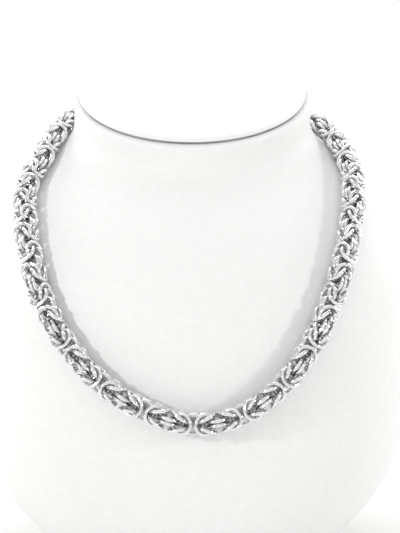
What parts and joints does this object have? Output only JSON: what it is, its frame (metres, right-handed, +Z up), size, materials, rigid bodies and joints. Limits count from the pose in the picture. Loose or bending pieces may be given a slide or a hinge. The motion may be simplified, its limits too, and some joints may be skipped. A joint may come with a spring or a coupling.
{
  "type": "byzantine chain necklace on a neck bust",
  "caption": "Heavy round byzantine-weave necklace lying closed round a plain white leatherette neck bust with a flat base.",
  "frame": {"origin": "on the base plane, under the middle of the whole part", "axes": "+Z up along the bust, -Y out of the front of the chest, +X to the right seen from the front"},
  "size_m": [0.1966, 0.1526, 0.2163],
  "materials": {
    "leatherette": "white grained leatherette, matt",
    "panel": "white grained leatherette, matt",
    "links": "polished silver wire",
    "clasp": "polished silver"
  },
  "bodies": {
    "root": {"bust_body": "leatherette", "top_panel": "panel", "chain": "links", "clasp": "clasp"}
  },
  "joints": []
}
